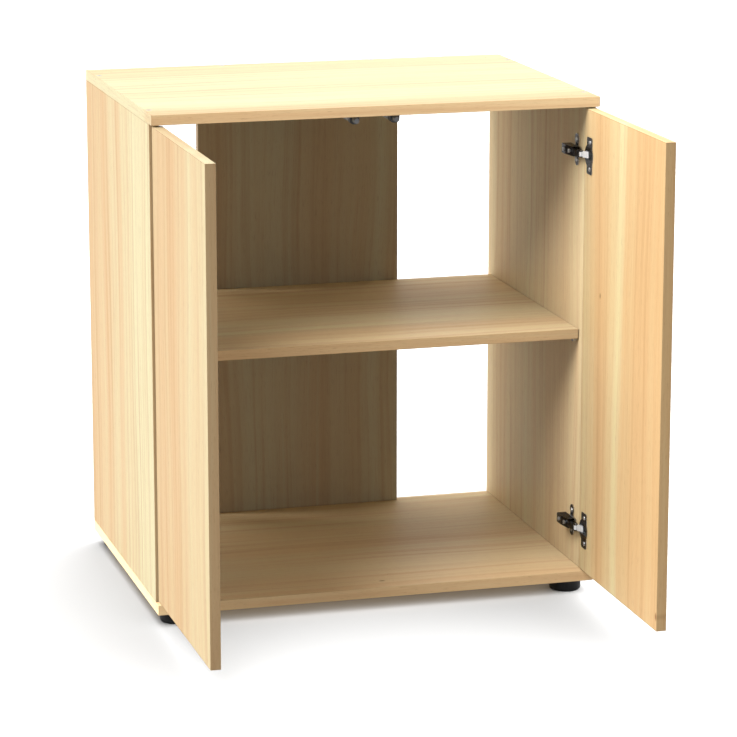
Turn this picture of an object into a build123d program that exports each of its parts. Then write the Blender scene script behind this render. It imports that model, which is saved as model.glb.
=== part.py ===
"""Aquarium stand cabinet: a flat-pack cupboard in wood decor that carries a fish tank.

Two overlay doors without handles hang on four concealed cup hinges and are held by two push latches.
A loose shelf lies on four pegs, a back board fills the middle of the rear, and four round feet carry it.

Millimetres, +X to the right, +Y to the back, +Z up, the floor at Z = 0. The doors stand open at 90
degrees, and the origin is the middle of the footprint of that open cabinet.
"""

import os

from build123d import *

# ---------------------------------------------------------------- driving dimensions
WIDTH = 710.0
DEPTH = 510.0
HEIGHT = 800.0
BOARD = 16.0
EDGE_EASE = 0.6

FOOT_HEIGHT = 20.0
FOOT_RADIUS = 25.0
FOOT_INSET = 35.0

BACK_WIDTH = 344.0

SHELF_TOP = 425.0
SHELF_FRONT = 37.0
SHELF_BACK_GAP = 2.0
SHELF_END_GAP = 1.0

DOOR_GAP_SIDE = 1.0
DOOR_GAP_MIDDLE = 2.0
DOOR_GAP_HEIGHT = 2.5
DOOR_BUMPER_GAP = 3.0

# The doors turn about a vertical line, given from the side panel's outer face and the front plane.
PIVOT_IN = 9.0
PIVOT_BACK = 5.5
HINGE_HEIGHTS = {"lower": 106.5, "upper": 709.5}

LATCH_SPREAD = 64.0

SIDES = {"left": -1, "right": 1}
UP = (0, 0, 1)
DOWN = (0, 0, -1)

# ---------------------------------------------------------------- derived places
DOOR_WIDTH = WIDTH / 2 - DOOR_GAP_SIDE - DOOR_GAP_MIDDLE / 2
DOOR_HINGE_EDGE = PIVOT_BACK + PIVOT_IN - DOOR_GAP_SIDE
DOOR_OUTER_IN = PIVOT_IN - PIVOT_BACK
DOOR_INNER_IN = DOOR_OUTER_IN + BOARD
DOOR_REACH = DOOR_WIDTH - DOOR_HINGE_EDGE
FRONT_Y = (DOOR_REACH - DEPTH) / 2

BASE_TOP = FOOT_HEIGHT + BOARD
TOP_UNDERSIDE = HEIGHT - BOARD
SIDE_FRONT = BOARD + DOOR_BUMPER_GAP
SIDE_HEIGHT = TOP_UNDERSIDE - BASE_TOP
DOOR_BOTTOM = BASE_TOP + DOOR_GAP_HEIGHT
DOOR_HEIGHT = SIDE_HEIGHT - 2 * DOOR_GAP_HEIGHT
SHELF_UNDERSIDE = SHELF_TOP - BOARD


def back(distance):
    """Y of a point this far behind the front plane of the cabinet."""
    return FRONT_Y + distance


def inward(side, distance):
    """X of a point this far inside the outer face of the left (-1) or right (1) side panel."""
    return side * (WIDTH / 2 - distance)


def wall_plane(side, depth_in, distance_back, z):
    """A plane that looks into the cabinet from a side wall, with its own x towards the back."""
    origin = (inward(side, depth_in), back(distance_back), z)
    return Plane(origin=origin, x_dir=(0, 1, 0), z_dir=(-side, 0, 0))


def seats(points, z, outward):
    """One plane at height z over each XY point, facing out of the surface."""
    return [Plane(origin=(x, y, z), z_dir=outward) for x, y in points]


def finish(piece, node):
    """Names a finished piece and writes its file."""
    piece.part.label = node
    export_step(piece.part, f"parts/{node}.step")


# ---------------------------------------------------------------- where the fasteners go
CARCASS_SCREW_Y = (54.0, 438.0)
CARCASS_SCREW_X = 128.0
DOWEL_Y = (86.0, 246.0, 406.0)
DOWEL_X = 64.0
PEG_Y = (48.0, 449.0)
PLATE_SCREW_Y = 56.0
PLATE_SCREW_PITCH = 32.0
CUP_CENTRE_Y = DOOR_HINGE_EDGE - 22.0
CUP_SCREW_SHIFT = -5.0
CUP_SCREW_PITCH = 42.0
LATCH_SCREW_Y = (34.0, 66.0)


def side_points(distances):
    """Points over the middle of both side panels."""
    return [(inward(side, BOARD / 2), back(y)) for side in SIDES.values() for y in distances]


def back_points(offset):
    """Two points over the middle of the back board."""
    return [(x, back(DEPTH - BOARD / 2)) for x in (-offset, offset)]


carcass_screw_points = side_points(CARCASS_SCREW_Y) + back_points(CARCASS_SCREW_X)
dowel_points = side_points(DOWEL_Y) + back_points(DOWEL_X)
foot_points = {
    f"{end}_{name}": (inward(side, FOOT_INSET), back(y))
    for end, y in (("front", FOOT_INSET), ("rear", DEPTH - FOOT_INSET))
    for name, side in SIDES.items()
}
latch_screw_points = [
    (side * LATCH_SPREAD / 2, back(y)) for side in SIDES.values() for y in LATCH_SCREW_Y
]

# ---------------------------------------------------------------- holes
CARCASS_HOLE = 3.55
CARCASS_SINK = 5.1
CARCASS_DEPTH_IN_EDGE = 36.0
DOWEL_RADIUS = 4.0
DOWEL_HOLE = 4.1
DOWEL_IN_PANEL = 11.5
DOWEL_IN_EDGE = 18.0
DOWEL_PLAY = 0.5
PILOT_RADIUS = 1.5
SMALL_PILOT_RADIUS = 1.2
PILOT_DEPTH = 10.0
FOOT_SCREW_HOLE = 2.1
FOOT_SCREW_DEPTH = 12.5
LATCH_SCREW_HOLE = 1.6
LATCH_SCREW_DEPTH = 11.0
PEG_PIN_RADIUS = 2.5
PEG_HOLE = 2.6
PEG_HOLE_DEPTH = 9.0
PLATE_SCREW_HOLE = 2.9
PLATE_SCREW_DEPTH = 11.5
CUP_RADIUS = 17.3
CUP_HOLE = 17.5
CUP_HOLE_DEPTH = 12.2
CUP_SCREW_HOLE = 2.0
CUP_SCREW_DEPTH = 12.0

PEG_REST_RADIUS = 3.0
PEG_REST_GAP = 0.1
PEG_Z = SHELF_UNDERSIDE - PEG_REST_GAP - PEG_REST_RADIUS


# ---------------------------------------------------------------- screws
def thread_outline(crest, root, start, pitch, turns):
    """Half section of a coarse thread, as rings that run down from start."""
    outline = []
    for turn in range(turns):
        z = start - turn * pitch
        outline += [(root, z), (crest, z - 0.3 * pitch), (crest, z - 0.4 * pitch), (root, z - 0.7 * pitch)]
    return outline


def sunk_head(radius, shank, sink):
    """A flat countersunk head whose face lies a little below the surface."""
    return [(0, -sink), (radius, -sink), (shank, -sink - radius + shank)]


def round_head(radius, shank, height):
    """A low domed head that stands on the surface."""
    return [(0, height), (0.62 * radius, height), (0.9 * radius, 0.6 * height), (radius, 0), (shank, 0)]


def wood_screw(head, shank, root, thread_start, pitch, turns, length, drive_radius):
    """A screw on the Z axis with a cross recess, its head's seat at Z = 0 and its point below."""
    with BuildPart() as screw:
        with BuildSketch(Plane.XZ):
            with BuildLine():
                neck = [(shank, thread_start)]
                threads = thread_outline(shank, root, thread_start, pitch, turns)
                tip = [(root, 2 * root - length), (0.4, -length), (0, -length)]
                Polyline(*head, *neck, *threads, *tip, close=True)
            make_face()
        revolve(axis=Axis.Z)
        with BuildSketch(Plane.XY.offset(head[0][1])):
            Rectangle(2 * drive_radius, 0.4 * drive_radius)
            Rectangle(0.4 * drive_radius, 2 * drive_radius)
        extrude(amount=-0.8 * drive_radius, mode=Mode.SUBTRACT)
    return screw.part


def copies(piece, planes):
    """Identical fasteners, one on each plane, as one node."""
    with BuildPart() as group:
        with Locations(*planes):
            add(piece)
    return group


carcass_screw = wood_screw(sunk_head(4.8, 3.4, 0.2), 3.4, 2.6, -17.0, 3.0, 9, 50.0, 2.2)
plate_screw = wood_screw(round_head(3.9, 2.8, 1.5), 2.8, 2.0, -3.0, 2.0, 3, 12.0, 1.7)
cup_screw = wood_screw(round_head(3.4, 1.9, 1.5), 1.9, 1.3, -2.0, 1.6, 5, 12.5, 1.5)
latch_screw = wood_screw(sunk_head(2.9, 1.5, 0.1), 1.5, 1.0, -3.5, 1.3, 5, 13.0, 1.3)
foot_screw = wood_screw(round_head(4.2, 2.0, 2.2), 2.0, 1.4, -12.5, 1.8, 5, 23.5, 1.8)

# ---------------------------------------------------------------- carcass boards
os.makedirs("parts", exist_ok=True)

with BuildPart() as top_panel:
    with BuildSketch(Plane.XY.offset(TOP_UNDERSIDE)):
        with Locations((0, back(DEPTH / 2))):
            Rectangle(WIDTH, DEPTH)
    extrude(amount=BOARD)
    fillet(top_panel.edges(), EDGE_EASE)
    with Locations(*seats(carcass_screw_points, HEIGHT, UP)):
        CounterSinkHole(CARCASS_HOLE, CARCASS_SINK, counter_sink_angle=90)
    with Locations(*seats(dowel_points, TOP_UNDERSIDE, DOWN)):
        Hole(DOWEL_HOLE, DOWEL_IN_PANEL + DOWEL_PLAY)
    with Locations(*seats(foot_points.values(), HEIGHT, UP)):
        Hole(PILOT_RADIUS, PILOT_DEPTH)
    with Locations(*seats(latch_screw_points, TOP_UNDERSIDE, DOWN)):
        Hole(LATCH_SCREW_HOLE, LATCH_SCREW_DEPTH)
finish(top_panel, "top_panel")

# The base is drilled like the top, so the latch holes turn up in it unused.
with BuildPart() as base_panel:
    with BuildSketch(Plane.XY.offset(FOOT_HEIGHT)):
        with Locations((0, back(DEPTH / 2))):
            Rectangle(WIDTH, DEPTH)
    extrude(amount=BOARD)
    fillet(base_panel.edges(), EDGE_EASE)
    with Locations(*seats(carcass_screw_points, FOOT_HEIGHT, DOWN)):
        CounterSinkHole(CARCASS_HOLE, CARCASS_SINK, counter_sink_angle=90)
    with Locations(*seats(dowel_points, BASE_TOP, UP)):
        Hole(DOWEL_HOLE, DOWEL_IN_PANEL + DOWEL_PLAY)
    with Locations(*seats(foot_points.values(), FOOT_HEIGHT, DOWN)):
        Hole(FOOT_SCREW_HOLE, FOOT_SCREW_DEPTH)
    with Locations(*seats(latch_screw_points, BASE_TOP, UP)):
        Hole(SMALL_PILOT_RADIUS, PILOT_DEPTH)
finish(base_panel, "base_panel")


def edge_holes(points):
    """Screw and dowel holes in the upper and lower ends of the upright board being built."""
    screws = [point for point in carcass_screw_points if point in points]
    dowels = [point for point in dowel_points if point in points]
    for z, outward in ((TOP_UNDERSIDE, UP), (BASE_TOP, DOWN)):
        with Locations(*seats(screws, z, outward)):
            Hole(CARCASS_HOLE, CARCASS_DEPTH_IN_EDGE)
        with Locations(*seats(dowels, z, outward)):
            Hole(DOWEL_HOLE, DOWEL_IN_EDGE + DOWEL_PLAY)


def side_panel(side):
    depth = DEPTH - SIDE_FRONT
    hinge_screws = [
        wall_plane(side, BOARD, PLATE_SCREW_Y, z + offset)
        for z in HINGE_HEIGHTS.values()
        for offset in (-PLATE_SCREW_PITCH / 2, PLATE_SCREW_PITCH / 2)
    ]
    pegs = [wall_plane(side, BOARD, y, PEG_Z) for y in PEG_Y]
    with BuildPart() as panel:
        with BuildSketch(Plane.XY.offset(BASE_TOP)):
            with Locations((inward(side, BOARD / 2), back(SIDE_FRONT + depth / 2))):
                Rectangle(BOARD, depth)
        extrude(amount=SIDE_HEIGHT)
        fillet(panel.edges(), EDGE_EASE)
        edge_holes([point for point in side_points(CARCASS_SCREW_Y + DOWEL_Y) if point[0] * side > 0])
        with Locations(*hinge_screws):
            Hole(PLATE_SCREW_HOLE, PLATE_SCREW_DEPTH)
        with Locations(*pegs):
            Hole(PEG_HOLE, PEG_HOLE_DEPTH)
    return panel


for name, side in SIDES.items():
    finish(side_panel(side), f"{name}_side_panel")

with BuildPart() as back_panel:
    with BuildSketch(Plane.XY.offset(BASE_TOP)):
        with Locations((0, back(DEPTH - BOARD / 2))):
            Rectangle(BACK_WIDTH, BOARD)
    extrude(amount=SIDE_HEIGHT)
    fillet(back_panel.edges(), EDGE_EASE)
    edge_holes(back_points(CARCASS_SCREW_X) + back_points(DOWEL_X))
finish(back_panel, "back_panel")

with BuildPart() as shelf:
    shelf_depth = DEPTH - BOARD - SHELF_BACK_GAP - SHELF_FRONT
    with BuildSketch(Plane.XY.offset(SHELF_UNDERSIDE)):
        with Locations((0, back(SHELF_FRONT + shelf_depth / 2))):
            Rectangle(WIDTH - 2 * (BOARD + SHELF_END_GAP), shelf_depth)
    extrude(amount=BOARD)
    fillet(shelf.edges(), EDGE_EASE)
finish(shelf, "shelf")


def door(side):
    """A door, standing open at 90 degrees, with the cup bores in its inner face."""
    cups = [wall_plane(side, DOOR_INNER_IN, CUP_CENTRE_Y, z) for z in HINGE_HEIGHTS.values()]
    screws = [
        wall_plane(side, DOOR_INNER_IN, CUP_CENTRE_Y + CUP_SCREW_SHIFT, z + offset)
        for z in HINGE_HEIGHTS.values()
        for offset in (-CUP_SCREW_PITCH / 2, CUP_SCREW_PITCH / 2)
    ]
    with BuildPart() as panel:
        with BuildSketch(Plane.XY.offset(DOOR_BOTTOM)):
            middle = (inward(side, DOOR_OUTER_IN + BOARD / 2), back(DOOR_HINGE_EDGE - DOOR_WIDTH / 2))
            with Locations(middle):
                Rectangle(BOARD, DOOR_WIDTH)
        extrude(amount=DOOR_HEIGHT)
        fillet(panel.edges(), EDGE_EASE)
        with Locations(*cups):
            Hole(CUP_HOLE, CUP_HOLE_DEPTH)
        with Locations(*screws):
            Hole(CUP_SCREW_HOLE, CUP_SCREW_DEPTH)
    return panel


for name, side in SIDES.items():
    finish(door(side), f"{name}_door")

# ---------------------------------------------------------------- carcass screws and dowels
finish(copies(carcass_screw, seats(carcass_screw_points, HEIGHT, UP)), "top_carcass_screws")
finish(copies(carcass_screw, seats(carcass_screw_points, FOOT_HEIGHT, DOWN)), "base_carcass_screws")

with BuildPart() as dowel:
    with BuildSketch(Plane.XY.offset(-DOWEL_IN_EDGE)):
        Circle(DOWEL_RADIUS)
    extrude(amount=DOWEL_IN_EDGE + DOWEL_IN_PANEL)
    chamfer(dowel.edges().filter_by(GeomType.CIRCLE), 0.8)
finish(copies(dowel.part, seats(dowel_points, TOP_UNDERSIDE, UP)), "top_dowels")
finish(copies(dowel.part, seats(dowel_points, BASE_TOP, DOWN)), "base_dowels")

# ---------------------------------------------------------------- shelf pegs
PEG_PIN_LENGTH = 8.0
PEG_REST_LENGTH = 8.0

with BuildPart() as peg:
    with BuildSketch(Plane.XY.offset(-PEG_PIN_LENGTH)):
        Circle(PEG_PIN_RADIUS)
    extrude(amount=PEG_PIN_LENGTH)
    with BuildSketch():
        Circle(PEG_REST_RADIUS)
    extrude(amount=PEG_REST_LENGTH)
    chamfer(peg.edges().filter_by(GeomType.CIRCLE).group_by(Axis.Z)[0], 0.5)
    fillet(peg.edges().filter_by(GeomType.CIRCLE).group_by(Axis.Z)[-1], 0.7)
peg_planes = [wall_plane(side, BOARD, y, PEG_Z) for side in SIDES.values() for y in PEG_Y]
finish(copies(peg.part, peg_planes), "shelf_pegs")

# ---------------------------------------------------------------- feet
FOOT_ROUND = 3.5
FOOT_RECESS_RADIUS = 6.0
FOOT_FLOOR_RECESS_RADIUS = 17.0
FOOT_FLOOR_RECESS = 1.5
FOOT_WALL = 11.5

with BuildPart() as foot:
    with BuildSketch(Plane.XZ):
        with BuildLine():
            Polyline(
                (FOOT_SCREW_HOLE, 0),
                (FOOT_RADIUS - 1, 0),
                (FOOT_RADIUS, -1),
                (FOOT_RADIUS, -FOOT_HEIGHT),
                (FOOT_FLOOR_RECESS_RADIUS, -FOOT_HEIGHT),
                (FOOT_FLOOR_RECESS_RADIUS - 2, -FOOT_HEIGHT + FOOT_FLOOR_RECESS),
                (FOOT_RECESS_RADIUS, -FOOT_HEIGHT + FOOT_FLOOR_RECESS),
                (FOOT_RECESS_RADIUS, -FOOT_WALL),
                (FOOT_SCREW_HOLE, -FOOT_WALL),
                close=True,
            )
        make_face()
    revolve(axis=Axis.Z)
    lowest_circles = foot.edges().filter_by(GeomType.CIRCLE).group_by(Axis.Z)[0]
    fillet(lowest_circles.sort_by(SortBy.RADIUS)[-1], FOOT_ROUND)

for place, (x, y) in foot_points.items():
    finish(copies(foot.part, seats([(x, y)], FOOT_HEIGHT, UP)), f"{place}_foot")
foot_screw_seat = FOOT_HEIGHT - FOOT_WALL
finish(copies(foot_screw, seats(foot_points.values(), foot_screw_seat, DOWN)), "foot_screws")

# ---------------------------------------------------------------- concealed hinges
# In plan, the arm's nose carries a pin, and a short link turns on it and reaches into the cup.
NOSE = (26.0, 11.5)
NOSE_RADIUS = 3.6
LINK_LENGTH = 14.0
LINK_ANGLE_OPEN = 239.0
ARM_PIN_RADIUS = 1.5
CUP_PIN_RADIUS = 1.0
PIN_PLAY = 0.08
LINK_HALF = 3.7
LINK_STRIP_HALF = 5.0
LINK_STRIP_START = 0.28
LINK_METAL_HALF = 1.1
NOSE_EYE_RADIUS = 3.0
CUP_EYE_RADIUS = 1.9
CUP_PIN_HALF = 5.8

ARM_HALF_REAR = 7.5
ARM_HALF_FRONT = 5.2
ARM_METAL = 1.3
ARM_STEP = 34.0

PLATE_METAL = 1.6
PLATE_WING_RADIUS = 8.5
PLATE_WING_PITCH = 34.0
PLATE_WEB_WIDTH = 13.0
PLATE_BLOCK_HALF = 5.8
PLATE_BLOCK_TOP = 9.0
PLATE_BLOCK_CORNER = 2.0
PLATE_BLOCK_Y = (38.0, 75.0)
ARM_SCREW_Y = (66.0, 46.0)
ARM_SCREW_HOLE = 2.1
ARM_SLOT = (9.0, 4.6)

CUP_FLANGE = 1.2
CUP_FLANGE_RADIUS = 18.2
CUP_WING_SIZE = (24.0, 58.0)
CUP_WING_SHIFT = -3.0
CUP_WING_CORNER = 4.0
CUP_POCKET_SIZE = (29.4, 14.0)
CUP_POCKET_CORNER = 3.0
CUP_FLOOR = 1.4
CUP_DEPTH = 11.8

link_end = Vector(*NOSE) + Vector(LINK_LENGTH, 0).rotate(Axis.Z, LINK_ANGLE_OPEN)


def plan(side, points):
    """Plan points given as distance in from the outer face and distance back from the front."""
    return [(inward(side, x), back(y)) for x, y in points]


def mounting_plate(side, z):
    """The winged plate on the side panel, with the raised block that the arm clips over."""
    block_middle = sum(PLATE_BLOCK_Y) / 2
    block_length = PLATE_BLOCK_Y[1] - PLATE_BLOCK_Y[0]
    wall = wall_plane(side, BOARD, PLATE_SCREW_Y, z)
    block_base = wall_plane(side, BOARD, block_middle, z)
    threads = [wall_plane(side, BOARD + PLATE_BLOCK_TOP, y, z) for y in ARM_SCREW_Y]
    with BuildPart() as plate:
        with BuildSketch(wall):
            with GridLocations(0, PLATE_WING_PITCH, 1, 2):
                Circle(PLATE_WING_RADIUS)
            Rectangle(PLATE_WEB_WIDTH, PLATE_SCREW_PITCH)
        extrude(amount=PLATE_METAL)
        with BuildSketch(block_base):
            RectangleRounded(block_length, 2 * PLATE_BLOCK_HALF, PLATE_BLOCK_CORNER)
        extrude(amount=PLATE_BLOCK_TOP)
        with Locations(wall.offset(PLATE_METAL)):
            with GridLocations(0, PLATE_SCREW_PITCH, 1, 2):
                Hole(PLATE_SCREW_HOLE)
        with Locations(*threads):
            Hole(ARM_SCREW_HOLE, PLATE_BLOCK_TOP - 2)
    return plate


def hinge_arm(side, z):
    """The folded channel that reaches from the mounting plate to the nose pin."""
    rear = [(20, 78), (35, 78), (35, 60), (30.9, ARM_STEP), (20.5, ARM_STEP)]
    front = [(20.5, ARM_STEP + 3), (31.3, ARM_STEP + 3), (29.6, 11.5), (22.8, 10.5), (21.5, 22)]
    rear_hollow = [(15, 80), (33.7, 80), (33.7, 60.2), (29.8, ARM_STEP + 1), (15, ARM_STEP + 1)]
    front_hollow = [(15, 40), (30, 40), (28.3, 17), (31, 15), (31, 5), (15, 5)]
    web_slots = [wall_plane(side, 36, y, z) for y in ARM_SCREW_Y]
    middle = Plane.XY.offset(z)
    with BuildPart() as arm:
        for outline, half in ((rear, ARM_HALF_REAR), (front, ARM_HALF_FRONT)):
            with BuildSketch(middle):
                with BuildLine():
                    Polyline(*plan(side, outline), close=True)
                make_face()
            extrude(amount=half, both=True)
        with BuildSketch(middle):
            with Locations(*plan(side, [NOSE])):
                Circle(NOSE_RADIUS)
        extrude(amount=ARM_HALF_FRONT, both=True)
        hollows = ((rear_hollow, ARM_HALF_REAR - ARM_METAL), (front_hollow, ARM_HALF_FRONT - ARM_METAL))
        for outline, half in hollows:
            with BuildSketch(middle):
                with BuildLine():
                    Polyline(*plan(side, outline), close=True)
                make_face()
            extrude(amount=half, both=True, mode=Mode.SUBTRACT)
        with BuildSketch(middle):
            with Locations(*plan(side, [NOSE])):
                Circle(ARM_PIN_RADIUS + PIN_PLAY)
        extrude(amount=ARM_HALF_FRONT, both=True, mode=Mode.SUBTRACT)
        with BuildSketch(*web_slots):
            SlotOverall(*ARM_SLOT)
        extrude(amount=-8, mode=Mode.SUBTRACT)
    return arm


def hinge_link(side, z):
    """The short strip between the arm's nose and the cup, with a rolled eye at each end."""
    nose = Vector(*NOSE)
    run = link_end - nose
    across = Vector(-run.Y, run.X).normalized() * LINK_METAL_HALF
    strip_start = nose + run * LINK_STRIP_START
    strip = [strip_start + across, strip_start - across, link_end - across, link_end + across]
    neck = [nose + across, nose - across, strip_start - across, strip_start + across]
    middle = Plane.XY.offset(z)
    with BuildPart() as link:
        for outline, half in ((strip, LINK_STRIP_HALF), (neck, LINK_HALF)):
            with BuildSketch(middle):
                with BuildLine():
                    Polyline(*plan(side, [(point.X, point.Y) for point in outline]), close=True)
                make_face()
            extrude(amount=half, both=True)
        eyes = ((nose, NOSE_EYE_RADIUS, LINK_HALF), (link_end, CUP_EYE_RADIUS, LINK_STRIP_HALF))
        for centre, eye, half in eyes:
            with BuildSketch(middle):
                with Locations(*plan(side, [(centre.X, centre.Y)])):
                    Circle(eye)
            extrude(amount=half, both=True)
        for centre, pin in ((nose, ARM_PIN_RADIUS), (link_end, CUP_PIN_RADIUS)):
            with BuildSketch(middle):
                with Locations(*plan(side, [(centre.X, centre.Y)])):
                    Circle(pin + PIN_PLAY)
            extrude(amount=LINK_STRIP_HALF, both=True, mode=Mode.SUBTRACT)
    return link


def cup_pin(side, z):
    with BuildPart() as pin:
        with BuildSketch(Plane.XY.offset(z)):
            with Locations(*plan(side, [(link_end.X, link_end.Y)])):
                Circle(CUP_PIN_RADIUS)
        extrude(amount=CUP_PIN_HALF, both=True)
        chamfer(pin.edges().filter_by(GeomType.CIRCLE), 0.3)
    return pin


def hinge_cup(side, z):
    """The pressed cup in the door, with its flange and the pocket for the link."""
    face = wall_plane(side, DOOR_INNER_IN, CUP_CENTRE_Y, z)
    flange_face = face.offset(CUP_FLANGE)
    pocket = CUP_FLANGE + CUP_DEPTH - CUP_FLOOR
    with BuildPart() as cup:
        with BuildSketch(face):
            Circle(CUP_FLANGE_RADIUS)
            with Locations((CUP_WING_SHIFT, 0)):
                RectangleRounded(*CUP_WING_SIZE, CUP_WING_CORNER)
        extrude(amount=CUP_FLANGE)
        with BuildSketch(face):
            Circle(CUP_RADIUS)
        extrude(amount=-CUP_DEPTH)
        with BuildSketch(flange_face):
            RectangleRounded(*CUP_POCKET_SIZE, CUP_POCKET_CORNER)
        extrude(amount=-pocket, mode=Mode.SUBTRACT)
        with Locations(flange_face):
            with Locations((CUP_SCREW_SHIFT, -CUP_SCREW_PITCH / 2), (CUP_SCREW_SHIFT, CUP_SCREW_PITCH / 2)):
                Hole(CUP_SCREW_HOLE, CUP_FLANGE)
    return cup


hinge_makers = {
    "mounting_plate": mounting_plate,
    "hinge_arm": hinge_arm,
    "hinge_link": hinge_link,
    "cup_pin": cup_pin,
    "hinge_cup": hinge_cup,
}
for name, side in SIDES.items():
    for level, z in HINGE_HEIGHTS.items():
        for piece, make in hinge_makers.items():
            finish(make(side, z), f"{name}_{level}_{piece}")

all_hinges = [(side, z) for side in SIDES.values() for z in HINGE_HEIGHTS.values()]

plate_screw_planes = [
    wall_plane(side, BOARD + PLATE_METAL, PLATE_SCREW_Y, z + offset)
    for side, z in all_hinges
    for offset in (-PLATE_SCREW_PITCH / 2, PLATE_SCREW_PITCH / 2)
]
finish(copies(plate_screw, plate_screw_planes), "mounting_plate_screws")

for name, side in SIDES.items():
    cup_screw_planes = [
        wall_plane(side, DOOR_INNER_IN + CUP_FLANGE, CUP_CENTRE_Y + CUP_SCREW_SHIFT, z + offset)
        for z in HINGE_HEIGHTS.values()
        for offset in (-CUP_SCREW_PITCH / 2, CUP_SCREW_PITCH / 2)
    ]
    finish(copies(cup_screw, cup_screw_planes), f"{name}_cup_screws")

with BuildPart() as nose_pin:
    with BuildSketch():
        Circle(ARM_PIN_RADIUS)
    extrude(amount=ARM_HALF_FRONT + 0.3, both=True)
    chamfer(nose_pin.edges().filter_by(GeomType.CIRCLE), 0.3)
nose_pin_planes = [
    Plane(origin=(inward(side, NOSE[0]), back(NOSE[1]), z)) for side, z in all_hinges
]
finish(copies(nose_pin.part, nose_pin_planes), "arm_nose_pins")

# The fixing screw clamps the arm to its plate, and the adjusting screw sets the overlay.
with BuildPart() as arm_screw:
    with BuildSketch(Plane.XZ):
        with BuildLine():
            head_outline = [(0, 2), (3, 2), (3.4, 1.6), (3.4, 0)]
            shank_outline = [(2, 0), (2, -14), (1.5, -14.5), (0, -14.5)]
            Polyline(*head_outline, *shank_outline, close=True)
        make_face()
    revolve(axis=Axis.Z)
    with BuildSketch(Plane.XY.offset(2)):
        Rectangle(4.4, 0.9)
        Rectangle(0.9, 4.4)
    extrude(amount=-1.2, mode=Mode.SUBTRACT)
arm_screw_planes = [
    wall_plane(side, head_in, y, z)
    for side, z in all_hinges
    for head_in, y in zip((35.05, 33.4), ARM_SCREW_Y)
]
finish(copies(arm_screw.part, arm_screw_planes), "hinge_arm_screws")

# ---------------------------------------------------------------- push latches
# A dark holder is screwed under the top panel, and the grey cartridge clips under its plate.
HOLDER_FRONT = 28.0
HOLDER_SHROUD_END = 42.0
HOLDER_END = 98.0
HOLDER_PLATE = 2.6
HOLDER_PLATE_WIDTH = 13.0
HOLDER_WALL = 1.1
SHROUD_EASE = 0.8
HOLDER_SCREW_HOLE = 1.7
HOLDER_SCREW_SINK = 3.1
CARTRIDGE_FIT = 0.15
CARTRIDGE_FRONT = 31.0
CARTRIDGE_END = 104.0
CARTRIDGE_WIDTH = 13.2
CARTRIDGE_TOP = HOLDER_PLATE + CARTRIDGE_FIT
CARTRIDGE_BOTTOM = 14.4
CARTRIDGE_ROUND = 5.5
CARTRIDGE_EASE = 0.6
BORE_RADIUS = 4.6
BORE_END = 99.0
LATCH_AXIS_DROP = 8.6
PLUNGER_RADIUS = 4.3
PLUNGER_END = 58.0
PLUNGER_PLAY = 0.2
PLUNGER_EASE = 0.8
TIP_GAP = 0.4
TIP_FACE = BOARD + TIP_GAP
TIP_LENGTH = 3.0
TIP_EASE = 1.2
SPRING_RADIUS = 3.2
SPRING_WIRE = 0.45
SPRING_START = 71.6
SPRING_TURNS = 6


def latch_plane(side, distance_back):
    """A plane that faces the front at a latch, with its own y up and its x to the right."""
    origin = (side * LATCH_SPREAD / 2, back(distance_back), TOP_UNDERSIDE)
    return Plane(origin=origin, x_dir=(1, 0, 0), z_dir=(0, -1, 0))


def hanging_outline(plane, width, top, bottom, corner):
    """A cross-section that hangs under the top panel: square above, rounded below."""
    half = width / 2
    with BuildSketch(plane) as outline:
        with BuildLine():
            FilletPolyline((-half, -top), (-half, -bottom), (half, -bottom), (half, -top), radius=corner)
            Line((half, -top), (-half, -top))
        make_face()
    return outline.sketch


def latch_holder(side):
    """The dark plate under the top panel, with a shroud round the cartridge's front end."""
    front = latch_plane(side, HOLDER_FRONT)
    shroud = (
        CARTRIDGE_WIDTH + 2 * HOLDER_WALL,
        0,
        CARTRIDGE_BOTTOM + HOLDER_WALL,
        CARTRIDGE_ROUND + HOLDER_WALL,
    )
    hollow = (
        CARTRIDGE_WIDTH + 2 * CARTRIDGE_FIT,
        HOLDER_PLATE,
        CARTRIDGE_BOTTOM + CARTRIDGE_FIT,
        CARTRIDGE_ROUND + CARTRIDGE_FIT,
    )
    plate_middle = back((HOLDER_FRONT + HOLDER_END) / 2)
    own_points = [point for point in latch_screw_points if point[0] * side > 0]
    with BuildPart() as holder:
        extrude(hanging_outline(front, *shroud), amount=HOLDER_FRONT - HOLDER_SHROUD_END)
        fillet(holder.edges().group_by(Axis.Y)[0].filter_by(GeomType.CIRCLE), SHROUD_EASE)
        with BuildSketch(Plane.XY.offset(TOP_UNDERSIDE)):
            with Locations((side * LATCH_SPREAD / 2, plate_middle)):
                Rectangle(HOLDER_PLATE_WIDTH, HOLDER_END - HOLDER_FRONT)
        extrude(amount=-HOLDER_PLATE)
        extrude(
            hanging_outline(latch_plane(side, CARTRIDGE_FRONT - CARTRIDGE_FIT), *hollow),
            amount=CARTRIDGE_FRONT - HOLDER_SHROUD_END - 1,
            mode=Mode.SUBTRACT,
        )
        with BuildSketch(front):
            with Locations((0, -LATCH_AXIS_DROP)):
                Circle(BORE_RADIUS + PLUNGER_PLAY)
        extrude(amount=HOLDER_FRONT - CARTRIDGE_FRONT, mode=Mode.SUBTRACT)
        with Locations(*seats(own_points, TOP_UNDERSIDE - HOLDER_PLATE, DOWN)):
            CounterSinkHole(HOLDER_SCREW_HOLE, HOLDER_SCREW_SINK, HOLDER_PLATE, counter_sink_angle=90)
    return holder


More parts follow.
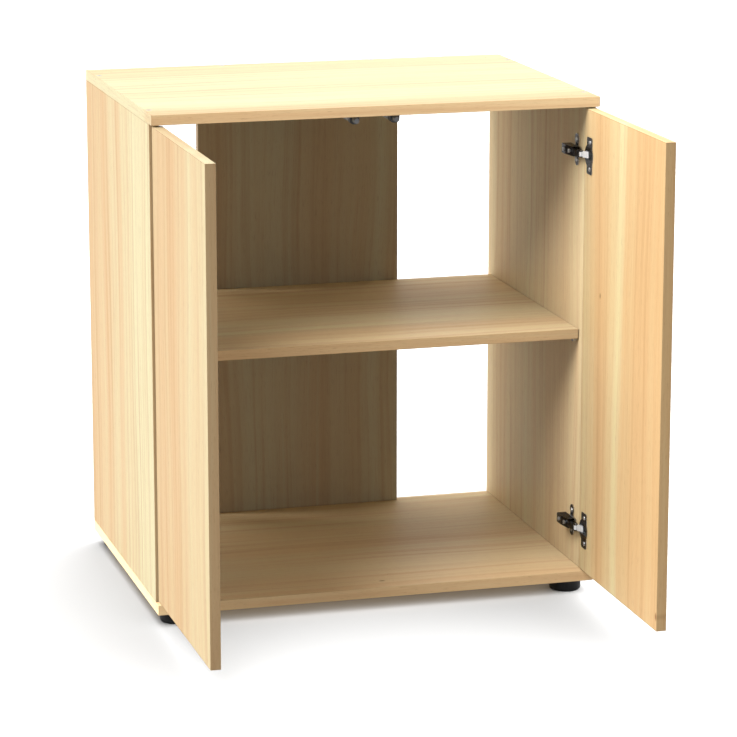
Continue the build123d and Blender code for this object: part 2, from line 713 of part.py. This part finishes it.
def latch_cartridge(side):
    """The grey housing with the bore that the plunger slides in."""
    outline = (CARTRIDGE_WIDTH, CARTRIDGE_TOP, CARTRIDGE_BOTTOM, CARTRIDGE_ROUND)
    front = latch_plane(side, CARTRIDGE_FRONT)
    with BuildPart() as cartridge:
        extrude(hanging_outline(front, *outline), amount=CARTRIDGE_FRONT - CARTRIDGE_END)
        with BuildSketch(front):
            with Locations((0, -LATCH_AXIS_DROP)):
                Circle(BORE_RADIUS)
        extrude(amount=CARTRIDGE_FRONT - BORE_END, mode=Mode.SUBTRACT)
        chamfer(cartridge.edges().group_by(Axis.Y)[-1], CARTRIDGE_EASE)
    return cartridge


def latch_plunger(side):
    with BuildPart() as plunger:
        with BuildSketch(latch_plane(side, TIP_FACE + TIP_LENGTH)):
            with Locations((0, -LATCH_AXIS_DROP)):
                Circle(PLUNGER_RADIUS)
        extrude(amount=TIP_FACE + TIP_LENGTH - PLUNGER_END)
        chamfer(plunger.edges().group_by(Axis.Y)[-1], PLUNGER_EASE)
    return plunger


def latch_tip(side):
    """The soft pad on the plunger that meets the door."""
    with BuildPart() as tip:
        with BuildSketch(latch_plane(side, TIP_FACE)):
            with Locations((0, -LATCH_AXIS_DROP)):
                Circle(PLUNGER_RADIUS)
        extrude(amount=-TIP_LENGTH)
        fillet(tip.edges().group_by(Axis.Y)[0], TIP_EASE)
    return tip


def latch_spring(side):
    """The coil behind the plunger, as long as the plunger's full press leaves it."""
    rear = BORE_END - SPRING_WIRE
    height = rear - SPRING_START
    start = (side * LATCH_SPREAD / 2, back(rear), TOP_UNDERSIDE - LATCH_AXIS_DROP)
    pitch = height / SPRING_TURNS
    with BuildPart() as spring:
        with BuildLine() as coil:
            Helix(pitch, height, SPRING_RADIUS, center=start, direction=(0, -1, 0))
        with BuildSketch(Plane(origin=coil.line @ 0, z_dir=coil.line % 0)):
            Circle(SPRING_WIRE)
        sweep(path=coil.line, is_frenet=True)
    return spring


latch_makers = {
    "latch_holder": latch_holder,
    "latch_cartridge": latch_cartridge,
    "latch_plunger": latch_plunger,
    "latch_tip": latch_tip,
    "latch_spring": latch_spring,
}
for name, side in SIDES.items():
    for piece, make in latch_makers.items():
        finish(make(side), f"{name}_{piece}")
finish(copies(latch_screw, seats(latch_screw_points, TOP_UNDERSIDE - HOLDER_PLATE, DOWN)), "latch_screws")
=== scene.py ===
"""The looks of the aquarium stand cabinet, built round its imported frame. Metres, +Z up, row frame.

The boards are light wood decor with edge tape, the hinges dark nickel, and the latches and feet plastic.
"""

import math

import bmesh
import bpy
from mathutils import Color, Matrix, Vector


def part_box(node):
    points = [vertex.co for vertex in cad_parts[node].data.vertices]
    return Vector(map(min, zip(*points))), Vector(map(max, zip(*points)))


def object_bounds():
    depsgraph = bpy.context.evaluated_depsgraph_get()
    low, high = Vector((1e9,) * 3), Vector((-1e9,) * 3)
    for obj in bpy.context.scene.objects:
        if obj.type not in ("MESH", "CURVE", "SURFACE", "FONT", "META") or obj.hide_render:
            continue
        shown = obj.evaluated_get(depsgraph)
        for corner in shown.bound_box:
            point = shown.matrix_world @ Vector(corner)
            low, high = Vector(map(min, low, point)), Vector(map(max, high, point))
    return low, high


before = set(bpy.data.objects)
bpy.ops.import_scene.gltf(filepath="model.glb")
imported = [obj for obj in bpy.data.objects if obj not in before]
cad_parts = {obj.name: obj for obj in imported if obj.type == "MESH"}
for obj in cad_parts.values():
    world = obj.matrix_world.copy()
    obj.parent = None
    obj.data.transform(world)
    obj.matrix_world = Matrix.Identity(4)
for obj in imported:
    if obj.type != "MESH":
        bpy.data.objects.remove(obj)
cad_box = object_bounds()

# ---------------------------------------------------------------- node helpers
X, Y, Z = range(3)


class Tree:
    """A few short ways to add and join shader nodes."""

    def __init__(self, owner):
        owner.use_nodes = True
        self.tree = owner.node_tree
        self.tree.nodes.clear()

    def add(self, kind, inputs=None, **settings):
        """A node of that kind. Its inputs are values or other nodes' outputs."""
        made = self.tree.nodes.new("ShaderNode" + kind)
        for name, value in settings.items():
            setattr(made, name, value)
        for name, value in (inputs or {}).items():
            if isinstance(value, bpy.types.NodeSocket):
                self.tree.links.new(value, made.inputs[name])
            else:
                made.inputs[name].default_value = value
        return made

    def math(self, operation, a, b=0.0, c=0.0, clamp=False):
        return self.add("Math", {0: a, 1: b, 2: c}, operation=operation, use_clamp=clamp).outputs[0]

    def noise(self, vector, scale=1.0, detail=2.0, roughness=0.5):
        values = {"Vector": vector, "Scale": scale, "Detail": detail, "Roughness": roughness}
        return self.add("TexNoise", values).outputs["Fac"]

    def spread(self, value, low, high, to_low=0.0, to_high=1.0, smooth=True):
        """Maps low..high to to_low..to_high, and clamps it there."""
        values = {"Value": value, "From Min": low, "From Max": high, "To Min": to_low, "To Max": to_high}
        kind = "SMOOTHSTEP" if smooth else "LINEAR"
        return self.add("MapRange", values, interpolation_type=kind).outputs["Result"]

    def stretch(self, vector, scale):
        return self.add("Mapping", {"Vector": vector, "Scale": scale}).outputs["Vector"]

    def blend(self, factor, a, b, mode="MIX"):
        """A mix of two colours."""
        made = self.add("Mix", data_type="RGBA", blend_type=mode)
        for index, value in ((0, factor), (6, a), (7, b)):
            if isinstance(value, bpy.types.NodeSocket):
                self.tree.links.new(value, made.inputs[index])
            else:
                made.inputs[index].default_value = value
        return made.outputs[2]

    def bump(self, height, strength, distance):
        """A bumped normal. The distance is in metres."""
        return self.add("Bump", {"Height": height, "Strength": strength, "Distance": distance}).outputs[0]

    def link(self, output, socket):
        self.tree.links.new(output, socket)


def surface(tree, inputs):
    """The material's one shader, and its output."""
    shader = tree.add("BsdfPrincipled", inputs)
    output = tree.add("OutputMaterial")
    tree.link(shader.outputs["BSDF"], output.inputs["Surface"])


def rgb(red, green, blue):
    """A colour with alpha from sRGB values of 0 to 255."""
    linear = Color((red / 255, green / 255, blue / 255)).from_srgb_to_scene_linear()
    return (*linear, 1.0)


# Nearly all values of a noise lie between these two.
NOISE_LOW = 0.3
NOISE_HIGH = 0.7

# ---------------------------------------------------------------- wood decor
CREAM = rgb(252, 240, 194)
PEACH = rgb(243, 205, 155)
STREAK = rgb(220, 172, 124)
PORE = rgb(182, 134, 92)
KNOT = rgb(146, 84, 44)

# The noises' scales per metre: along the grain, across it, and through the board.
WAVE_SCALE = (1.6, 5.0, 5.0)
BROAD_SCALE = (0.5, 17.0, 17.0)
LINE_SCALE = (0.9, 75.0, 75.0)
FIBRE_SCALE = (12.0, 620.0, 620.0)
PORE_SCALE = (55.0, 1500.0, 1500.0)
LINE_SWAY = 0.05  # metres
STRIPE_DRIFT = 0.16  # share of the board's width

# How strongly each part of the pattern shows, from 0 to 1.
BROAD_SHARE = 0.15
STREAK_SHARE = 0.52
PALE_LINE_SHARE = 0.25
FIBRE_SHARE = 0.3
PORE_SHARE = 0.35
KNOT_SHARE = 0.75
SEAM_SHARE = 0.5

KNOT_SQUEEZE = 0.55  # makes a knot longer along the grain
KNOT_CORE = 0.15  # share of the radius
FACING = 0.7  # the normal's part along an axis, above which a face looks that way
FIBRE_RISE = 0.6
PORE_RISE = -0.4  # pores are sunk
EDGE_TAPE = 0.001
TAPE_SEAM = 0.0003
SIDE_TAPE_CREAM = 0.1
END_TAPE_CREAM = 0.3


def knot_mask(tree, along, across, place, radius):
    """1 at a small knot's middle, falling to 0 round it. The knot is longer along the grain."""
    run = tree.math("MULTIPLY", tree.math("SUBTRACT", along, place[0]), KNOT_SQUEEZE)
    side = tree.math("SUBTRACT", across, place[1])
    offset = tree.add("CombineXYZ", {0: run, 1: side}).outputs[0]
    distance = tree.add("VectorMath", {0: offset}, operation="LENGTH").outputs["Value"]
    return tree.spread(distance, radius, KNOT_CORE * radius)


def decor(name, node, grain, across, stripes, knots, seed, tint_and_painted_shade, painted_edge_shade):
    """Light wood decor with its grain along one axis of a board, and edge tape on the board's edges.

    The tape on the long edges is peach, and the tape on the ends of the grain is as striped as the face.

    stripes are (place across the board from 0 to 1, how cream it is from 0 to 1).
    knots are (place along the grain from 0 to 1, place across from 0 to 1, radius in metres).
    The tone is multiplied into the colour; on the back panel it is painted shade, darker and greyer for the
    shade inside the cabinet. The edge shade is painted shade, multiplied into the colour of the long edges.
    """
    material = bpy.data.materials.new(name)
    tree = Tree(material)
    low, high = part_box(node)
    size = high - low
    thick = ({X, Y, Z} - {grain, across}).pop()
    coordinates = tree.add("TexCoord")
    place = tree.add("SeparateXYZ", {0: coordinates.outputs["Object"]}).outputs
    normal = tree.add("SeparateXYZ", {0: coordinates.outputs["Normal"]}).outputs
    on_end, on_side = (
        tree.math("GREATER_THAN", tree.math("ABSOLUTE", normal[axis]), FACING) for axis in (grain, across)
    )

    # Fibres run along the grain, and on the board's two ends along the tape instead.
    lengthwise = tree.add("CombineXYZ", {0: place[grain], 1: place[across], 2: place[thick]}).outputs[0]
    endwise = tree.add("CombineXYZ", {0: place[across], 1: place[thick], 2: place[grain]}).outputs[0]
    flow = tree.add("Mix", data_type="VECTOR")
    tree.link(on_end, flow.inputs[0])
    tree.link(lengthwise, flow.inputs[4])
    tree.link(endwise, flow.inputs[5])
    start = (seed, 1.7 * seed, 0.6 * seed)
    fibre_space = tree.add("VectorMath", {0: flow.outputs[1], 1: start}, operation="ADD").outputs[0]

    # Slow waves bend the lines a little, as in a real veneer.
    wave = tree.noise(tree.stretch(fibre_space, WAVE_SCALE), detail=1.5)
    off_middle = tree.math("SUBTRACT", wave, 0.5)
    bend = tree.add("CombineXYZ", {1: tree.math("MULTIPLY", off_middle, LINE_SWAY)}).outputs[0]
    bent = tree.add("VectorMath", {0: fibre_space, 1: bend}, operation="ADD").outputs[0]
    lines = tree.noise(tree.stretch(bent, LINE_SCALE), detail=3.0, roughness=0.6)
    broad = tree.noise(tree.stretch(bent, BROAD_SCALE), detail=1.0)
    fibres = tree.noise(tree.stretch(bent, FIBRE_SCALE), detail=2.0)
    pores = tree.noise(tree.stretch(bent, PORE_SCALE), detail=1.0)

    # The wide cream and peach stripes.
    drift = tree.math("MULTIPLY", off_middle, STRIPE_DRIFT)
    share = tree.math("MULTIPLY_ADD", place[across], 1 / size[across], -low[across] / size[across])
    ramp = tree.add("ValToRGB", {0: tree.math("ADD", share, drift)})
    ramp.color_ramp.interpolation = "EASE"
    stops = ramp.color_ramp.elements
    while len(stops) < len(stripes):
        stops.new(0.5)
    for stop, (where, cream) in zip(stops, stripes):
        stop.position = where
        stop.color = (cream, cream, cream, 1.0)
    striped = tree.math("MULTIPLY_ADD", on_end, END_TAPE_CREAM, ramp.outputs[0])
    taped = tree.math("MULTIPLY_ADD", on_side, tree.math("SUBTRACT", SIDE_TAPE_CREAM, striped), striped)
    patches = tree.spread(broad, NOISE_LOW, NOISE_HIGH, -BROAD_SHARE, BROAD_SHARE)
    colour = tree.blend(tree.math("ADD", taped, patches, clamp=True), PEACH, CREAM)
    colour = tree.blend(tree.spread(lines, 0.46, 0.76, 0.0, STREAK_SHARE), colour, STREAK)
    colour = tree.blend(tree.spread(lines, 0.46, 0.25, 0.0, PALE_LINE_SHARE), colour, CREAM)
    colour = tree.blend(tree.spread(fibres, 0.5, 0.8, 0.0, FIBRE_SHARE), colour, STREAK)
    colour = tree.blend(tree.spread(pores, 0.62, 0.74, 0.0, PORE_SHARE), colour, PORE)

    for along_share, across_share, radius in knots:
        spot = (low[grain] + along_share * size[grain], low[across] + across_share * size[across])
        mask = knot_mask(tree, place[grain], place[across], spot, radius)
        colour = tree.blend(tree.math("MULTIPLY", mask, KNOT_SHARE), colour, KNOT)
    # The tone tints the colour; on the back panel it is painted shade.
    colour = tree.blend(1.0, colour, tint_and_painted_shade, mode="MULTIPLY")
    # Painted shade: the edge shade darkens the long edges.
    painted_edge_shading = tree.math("MULTIPLY_ADD", on_side, painted_edge_shade - 1, 1)
    colour = tree.blend(1.0, colour, painted_edge_shading, mode="MULTIPLY")

    # A hair line marks where the edge tape meets the decor.
    seam = 0.0
    for axis in (grain, across):
        middle = (low[axis] + high[axis]) / 2
        from_middle = tree.math("ABSOLUTE", tree.math("SUBTRACT", place[axis], middle))
        off_seam = tree.math("ABSOLUTE", tree.math("SUBTRACT", from_middle, size[axis] / 2 - EDGE_TAPE))
        seam = tree.math("MAXIMUM", tree.spread(off_seam, 2 * TAPE_SEAM, 0.5 * TAPE_SEAM), seam)
    colour = tree.blend(tree.math("MULTIPLY", seam, SEAM_SHARE), colour, PORE)

    height = tree.math("MULTIPLY_ADD", pores, PORE_RISE, tree.math("MULTIPLY", fibres, FIBRE_RISE))
    surface(tree, {
        "Base Color": colour,
        "Roughness": tree.spread(lines, NOISE_LOW, NOISE_HIGH, 0.44, 0.56, smooth=False),
        "Normal": tree.bump(height, 0.25, 0.00015),
        "IOR": 1.46,
        "Specular IOR Level": 0.05,
    })
    return material


# ---------------------------------------------------------------- other materials
# Noise scales per metre.
METAL_GRAIN = (900.0, 108.0, 900.0)
METAL_STAINS = 90.0
PLASTIC_GRAIN = 2600.0
PLASTIC_CLOUDS = 60.0
BEECH_GRAIN = (700.0, 700.0, 90.0)
FLOOR_CLOUDS = 1.5

CLOUD_EDGE = (0.35, 0.7)  # the noise values between which a stain or a cloud fades in


def brushed_metal(name, colour, dark, roughness, cut_edge=None, metallic=1.0):
    """Plated steel with faint drawing lines and small stains, and brighter cut edges on pressed sheet."""
    material = bpy.data.materials.new(name)
    tree = Tree(material)
    place = tree.add("TexCoord").outputs["Object"]
    lines = tree.noise(tree.stretch(place, METAL_GRAIN))
    stains = tree.noise(place, METAL_STAINS, detail=3.0)
    shade = tree.blend(tree.spread(stains, *CLOUD_EDGE), dark, colour)
    if cut_edge:
        normal = tree.add("SeparateXYZ", {0: tree.add("TexCoord").outputs["Normal"]}).outputs
        shade = tree.blend(tree.spread(tree.math("ABSOLUTE", normal[X]), 0.75, 0.4), shade, cut_edge)
    drawn = tree.spread(lines, NOISE_LOW, NOISE_HIGH, -0.05, 0.05, smooth=False)
    stained = tree.spread(stains, *CLOUD_EDGE, roughness + 0.08, roughness - 0.04, smooth=False)
    rough = tree.math("ADD", drawn, stained)
    bump = tree.bump(lines, 0.15, 0.00005)
    surface(tree, {"Base Color": shade, "Metallic": metallic, "Roughness": rough, "Normal": bump})
    return material


def moulded_plastic(name, colour, roughness, specular=0.5):
    """Plastic with a fine spark-eroded skin and faint lighter clouds."""
    material = bpy.data.materials.new(name)
    tree = Tree(material)
    place = tree.add("TexCoord").outputs["Object"]
    skin = tree.noise(place, PLASTIC_GRAIN, detail=1.0)
    cloud = tree.noise(place, PLASTIC_CLOUDS)
    lighter = (*(min(1.0, 1.3 * part + 0.002) for part in colour[:3]), 1.0)
    shade = tree.blend(tree.spread(cloud, *CLOUD_EDGE, 0.0, 0.6), colour, lighter)
    rough = tree.spread(cloud, NOISE_LOW, NOISE_HIGH, roughness - 0.06, roughness + 0.06, smooth=False)
    bump = tree.bump(skin, 0.3, 0.00006)
    surface(tree, {"Base Color": shade, "Roughness": rough, "Normal": bump, "Specular IOR Level": specular})
    return material


def plain_wood(name):
    """Turned beech, for the dowels."""
    material = bpy.data.materials.new(name)
    tree = Tree(material)
    place = tree.add("TexCoord").outputs["Object"]
    flecks = tree.noise(tree.stretch(place, BEECH_GRAIN), detail=3.0)
    shade = tree.blend(tree.spread(flecks, 0.4, 0.7), rgb(222, 184, 138), rgb(190, 140, 92))
    bump = tree.bump(flecks, 0.3, 0.0001)
    rough = tree.spread(flecks, NOISE_LOW, NOISE_HIGH, 0.5, 0.7)
    surface(tree, {"Base Color": shade, "Roughness": rough, "Normal": bump})
    return material


# Each board's stripes run from the front, or on the back panel from the left.
STRIPES = {
    "top_panel": ((0, 0.3), (0.08, 0.35), (0.13, 0.8), (0.3, 1), (0.42, 0.85), (0.6, 1), (0.85, 0.8)),
    "base_panel": ((0, 0.15), (0.25, 0.4), (0.5, 0.2), (0.8, 0.4)),
    "shelf": ((0, 0.35), (0.12, 0), (0.3, 0.4), (0.7, 0.25)),
    "left_side_panel": ((0, 1), (0.2, 0.9), (0.4, 0.65), (0.48, 0.2), (0.6, 0.45), (0.75, 0.1), (1, 0.1)),
    "right_side_panel": ((0, 0.5), (0.3, 0.25), (0.6, 0.4), (0.9, 0.3)),
    "back_panel": ((0, 0.2), (0.3, 0.35), (0.6, 0.1), (0.9, 0.3)),
    "left_door": ((0, 0.8), (0.12, 0.6), (0.2, 0.3), (0.32, 0.6), (0.45, 0.2), (0.6, 0.1), (1, 0.15)),
    "right_door": ((0.2, 0), (0.35, 0.1), (0.45, 0.2), (0.52, 0.75), (0.6, 0.3), (0.75, 0.1), (1, 0.5)),
}
LYING_BOARDS = ("top_panel", "base_panel", "shelf")
KNOTS = {
    "base_panel": ((0.52, 0.07, 0.004),),
    "right_door": ((0.62, 0.77, 0.0035), (0.03, 0.01, 0.005)),
}
# Tints multiplied into two boards' colour. The back panel's darker, greyer one is painted shade, for the
# shade inside the cabinet; the right door's is a warmer tint of its decor.
TINTS_AND_PAINTED_SHADE = {"back_panel": (0.8, 0.88, 1.05, 1), "right_door": (1, 0.96, 0.88, 1)}
PLAIN_TONE = (1, 1, 1, 1)
# Painted shade: the doors' long edges are made darker, for the shade that falls on them.
PAINTED_EDGE_SHADES = {"left_door": 0.75, "right_door": 0.75}
SEED_STEP = 3.1  # keeps two boards from showing the same piece of pattern


def paint(node, material):
    """Gives a CAD node one material."""
    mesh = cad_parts[node].data
    mesh.materials.clear()
    mesh.materials.append(material)


for number, (board, stripes) in enumerate(STRIPES.items()):
    grain = X if board in LYING_BOARDS else Z
    across = X if board == "back_panel" else Y
    knots = KNOTS.get(board, ())
    tint_and_painted_shade = TINTS_AND_PAINTED_SHADE.get(board, PLAIN_TONE)
    painted_edge_shade = PAINTED_EDGE_SHADES.get(board, 1)
    seed = SEED_STEP * number
    paint(board, decor(f"decor_{board}", board, grain, across, stripes, knots, seed, tint_and_painted_shade, painted_edge_shade))

CUT_STEEL = rgb(236, 237, 238)
SCREW_STEEL = brushed_metal("screw_steel", rgb(226, 227, 228), rgb(180, 181, 183), 0.32)
DARK_NICKEL = brushed_metal("dark_nickel", rgb(74, 76, 80), rgb(40, 41, 44), 0.26, cut_edge=CUT_STEEL)
ARM_NICKEL = brushed_metal("arm_nickel", rgb(70, 72, 76), rgb(34, 35, 38), 0.24)
LINK_STEEL = brushed_metal("link_steel", rgb(252, 252, 252), rgb(236, 237, 238), 0.4, metallic=0.4)
SPRING_STEEL = brushed_metal("spring_steel", rgb(190, 190, 186), rgb(130, 130, 126), 0.25)
FOOT_PLASTIC = moulded_plastic("foot_plastic", rgb(12, 12, 13), 0.45, specular=0.3)
HOLDER_PLASTIC = moulded_plastic("holder_plastic", rgb(44, 46, 50), 0.35)
CARTRIDGE_PLASTIC = moulded_plastic("cartridge_plastic", rgb(202, 206, 212), 0.35)
TIP_RUBBER = moulded_plastic("tip_rubber", rgb(150, 154, 162), 0.5)
BEECH = plain_wood("beech")

# The material of each node, by the ending of the node's name.
FINISHES = {
    "carcass_screws": SCREW_STEEL,
    "dowels": BEECH,
    "shelf_pegs": DARK_NICKEL,
    "foot_screws": SCREW_STEEL,
    "foot": FOOT_PLASTIC,
    "mounting_plate": DARK_NICKEL,
    "hinge_arm": ARM_NICKEL,
    "hinge_link": LINK_STEEL,
    "hinge_cup": DARK_NICKEL,
    "cup_pin": SCREW_STEEL,
    "mounting_plate_screws": SCREW_STEEL,
    "cup_screws": SCREW_STEEL,
    "arm_nose_pins": SCREW_STEEL,
    "hinge_arm_screws": SCREW_STEEL,
    "latch_screws": SCREW_STEEL,
    "latch_holder": HOLDER_PLASTIC,
    "latch_cartridge": CARTRIDGE_PLASTIC,
    "latch_plunger": CARTRIDGE_PLASTIC,
    "latch_tip": TIP_RUBBER,
    "latch_spring": SPRING_STEEL,
}
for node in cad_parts:
    ending = next((ending for ending in FINISHES if node.endswith(ending)), None)
    if ending:
        paint(node, FINISHES[ending])

# ---------------------------------------------------------------- floor and light
FLOOR_SIZE = 60.0
FLOOR_DROP = 0.0005
KEY_DIRECTION = (0.75, 0.22, -0.8)
KEY_ANGLE = 50.0
# The key light has one direction and one softness. One strength would burn out the outside boards before
# the inside is lit, so each group of nodes has its own.
KEY_STRENGTH_INSIDE = 5.4
KEY_STRENGTH_DOOR = 3.6
KEY_STRENGTH_OUTSIDE = 2.15
FLOOR_LIGHT_DIRECTION = (-0.42, 0.42, -0.8)
FLOOR_LIGHT_ANGLE = 135.0
FLOOR_LIGHT_STRENGTH = 26.0
FRONT_LIGHT_PLACE = (1.1, -1.4, 1.45)
FRONT_LIGHT_SIZE = 0.7
FRONT_LIGHT_POWER = 16.0
FLOOR_SHADES = ((0.24, 0.24, 0.24, 1), (0.26, 0.26, 0.26, 1))
SKY_BASE = 0.33
SKY_EXTRA = {Y: 1.2, X: 0.25}


def add_object(name, data):
    """A new object of that data, in the scene."""
    made = bpy.data.objects.new(name, data)
    bpy.context.scene.collection.objects.link(made)
    return made


def make_floor():
    """A floor with a light of its own, which keeps it white but for the contact shadows."""
    mesh = bpy.data.meshes.new("floor")
    shape = bmesh.new()
    bmesh.ops.create_grid(shape, x_segments=8, y_segments=8, size=FLOOR_SIZE)
    shape.to_mesh(mesh)
    shape.free()
    floor = add_object("floor", mesh)
    floor.location.z = cad_box[0].z - FLOOR_DROP
    material = bpy.data.materials.new("pale_floor")
    tree = Tree(material)
    cloud = tree.noise(tree.add("TexCoord").outputs["Object"], FLOOR_CLOUDS)
    shade = tree.blend(cloud, *FLOOR_SHADES)
    surface(tree, {
        "Base Color": shade,
        "Roughness": tree.spread(cloud, NOISE_LOW, NOISE_HIGH, 0.7, 0.8),
        "Specular IOR Level": 0.1,
    })
    mesh.materials.append(material)
    floor.visible_diffuse = False
    return floor


def make_sky():
    """A dim sky, brighter towards +Y, behind the cabinet, and a little towards +X.

    The camera sees it plain white.
    """
    world = bpy.data.worlds.new("studio")
    bpy.context.scene.world = world
    tree = Tree(world)
    direction = tree.add("SeparateXYZ", {0: tree.add("TexCoord").outputs["Generated"]}).outputs
    strength = SKY_BASE
    for axis, extra in SKY_EXTRA.items():
        towards = tree.math("MAXIMUM", direction[axis], 0)
        strength = tree.math("MULTIPLY_ADD", towards, extra, strength)
    seen = tree.add("LightPath").outputs["Is Camera Ray"]
    shown = tree.math("MAXIMUM", strength, seen)
    background = tree.add("Background", {"Color": (1, 1, 1, 1), "Strength": shown})
    output = tree.add("OutputWorld")
    tree.link(background.outputs[0], output.inputs["Surface"])


def add_light(name, kind, strength, direction, reached):
    """A light that shines on the reached objects only, and isn't passed on from one to another."""
    data = bpy.data.lights.new(name, kind)
    data.energy = strength
    data.cycles.max_bounces = 0
    light = add_object(name, data)
    light.rotation_euler = Vector(direction).to_track_quat("-Z", "Y").to_euler()
    receivers = bpy.data.collections.new(f"{name}_reach")
    for thing in reached:
        receivers.objects.link(thing)
    light.light_linking.receiver_collection = receivers
    return light


floor = make_floor()
make_sky()
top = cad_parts["top_panel"]
outside = [top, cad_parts["left_side_panel"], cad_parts["left_door"]]
door = [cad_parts["right_door"]]
inside = [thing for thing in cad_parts.values() if thing not in outside + door]
keys = {
    "key_inside": (KEY_STRENGTH_INSIDE, inside),
    "key_door": (KEY_STRENGTH_DOOR, door),
    "key_outside": (KEY_STRENGTH_OUTSIDE, outside),
}
for name, (strength, reached) in keys.items():
    key = add_light(name, "SUN", strength, KEY_DIRECTION, reached)
    key.data.angle = math.radians(KEY_ANGLE)
floor_light = add_light("floor_light", "SUN", FLOOR_LIGHT_STRENGTH, FLOOR_LIGHT_DIRECTION, [floor])
floor_light.data.angle = math.radians(FLOOR_LIGHT_ANGLE)
towards_middle = (cad_box[0] + cad_box[1]) / 2 - Vector(FRONT_LIGHT_PLACE)
front = add_light("front_right", "AREA", FRONT_LIGHT_POWER, towards_middle, [top])
front.data.size = FRONT_LIGHT_SIZE
front.location = FRONT_LIGHT_PLACE

# ---------------------------------------------------------------- camera
CAMERA_AZIMUTH = -15.73
CAMERA_ELEVATION = 13.07
CAMERA_DISTANCE = 5.2335
CAMERA_LENS = 162.4  # mm
SENSOR_WIDTH = 36.0  # mm
CAMERA_TARGET = (0.006, 0.0, 0.3705)


def make_camera():
    """The camera, on a circle round its target."""
    data = bpy.data.cameras.new("camera")
    data.lens = CAMERA_LENS
    data.sensor_width = SENSOR_WIDTH
    camera = add_object("camera", data)
    azimuth, elevation = math.radians(CAMERA_AZIMUTH), math.radians(CAMERA_ELEVATION)
    back = Vector((
        math.sin(azimuth) * math.cos(elevation),
        -math.cos(azimuth) * math.cos(elevation),
        math.sin(elevation),
    ))
    camera.location = Vector(CAMERA_TARGET) + back * CAMERA_DISTANCE
    camera.rotation_euler = (-back).to_track_quat("-Z", "Y").to_euler()
    bpy.context.scene.camera = camera


make_camera()
bpy.context.scene.view_settings.view_transform = "Standard"
# Diffuse light is passed on once, or the inside turns orange from board to board.
bpy.context.scene.cycles.diffuse_bounces = 1
